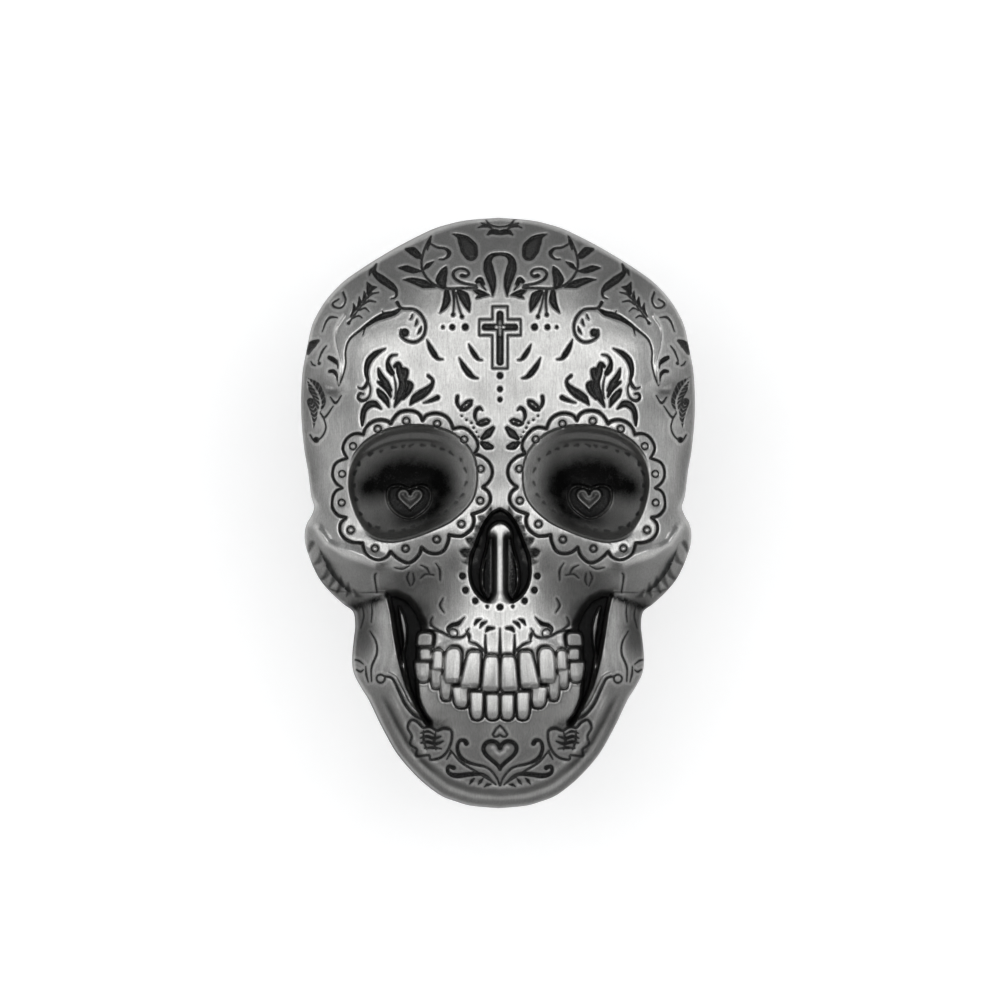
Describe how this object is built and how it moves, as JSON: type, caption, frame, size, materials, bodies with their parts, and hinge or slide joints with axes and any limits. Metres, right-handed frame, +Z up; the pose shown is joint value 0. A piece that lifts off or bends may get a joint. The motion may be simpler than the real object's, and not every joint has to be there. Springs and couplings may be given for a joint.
{
  "type": "lapel pin",
  "caption": "Die-cast skull lapel pin in antique silver: flat back, two nail posts soldered on, each held through cloth by a spring clutch with two squeeze wings.",
  "frame": {"origin": "centre of the flat pad in the middle of the back, half way up the skull, on its line of symmetry", "axes": "+Y out of the back, along the posts, into the cloth; +Z up, from the chin to the crown; +X across the skull, to the right as one faces it"},
  "size_m": [0.0254, 0.014, 0.0382],
  "materials": {
    "antique_zinc": "antique silver plate, dark in the recesses, brushed on the high places",
    "nickel_wire": "drawn wire, bright",
    "solder": "dull grey, slightly rippled",
    "nickel_plate": "nickel-plated brass sheet, bright",
    "wing_plate": "nickel-plated steel sheet, bright",
    "spring_steel": "blued spring strip"
  },
  "bodies": {
    "pin": {"skull_casting": "antique_zinc", "upper_post": "nickel_wire", "lower_post": "nickel_wire", "upper_solder_ring": "solder", "lower_solder_ring": "solder"},
    "upper_clutch": {"upper_clutch_plate": "nickel_plate", "upper_clutch_cap": "nickel_plate", "upper_left_bow_spring": "spring_steel", "upper_right_bow_spring": "spring_steel"},
    "upper_wing_left": {"upper_left_wing": "wing_plate"},
    "upper_wing_right": {"upper_right_wing": "wing_plate"},
    "lower_clutch": {"lower_clutch_plate": "nickel_plate", "lower_clutch_cap": "nickel_plate", "lower_left_bow_spring": "spring_steel", "lower_right_bow_spring": "spring_steel"},
    "lower_wing_left": {"lower_left_wing": "wing_plate"},
    "lower_wing_right": {"lower_right_wing": "wing_plate"}
  },
  "joints": [
    {"name": "upper_clutch_slide", "type": "slide", "parent": "pin", "child": "upper_clutch", "axis": [0, 1, 0], "range_m": [-0.0014, 0.008]},
    {"name": "upper_squeeze_left", "type": "slide", "parent": "upper_clutch", "child": "upper_wing_left", "axis": [1, 0, 0], "range_m": [0, 0.0006], "deforming": ["upper_left_bow_spring"]},
    {"name": "upper_squeeze_right", "type": "slide", "parent": "upper_clutch", "child": "upper_wing_right", "axis": [-1, 0, 0], "range_m": [0, 0.0006], "deforming": ["upper_right_bow_spring"]},
    {"name": "lower_clutch_slide", "type": "slide", "parent": "pin", "child": "lower_clutch", "axis": [0, 1, 0], "range_m": [-0.0014, 0.008]},
    {"name": "lower_squeeze_left", "type": "slide", "parent": "lower_clutch", "child": "lower_wing_left", "axis": [1, 0, 0], "range_m": [0, 0.0006], "deforming": ["lower_left_bow_spring"]},
    {"name": "lower_squeeze_right", "type": "slide", "parent": "lower_clutch", "child": "lower_wing_right", "axis": [-1, 0, 0], "range_m": [0, 0.0006], "deforming": ["lower_right_bow_spring"]}
  ],
  "couplings": [
    {"joint": "upper_squeeze_right", "follows": "upper_squeeze_left", "ratio": 1},
    {"joint": "lower_squeeze_right", "follows": "lower_squeeze_left", "ratio": 1}
  ]
}
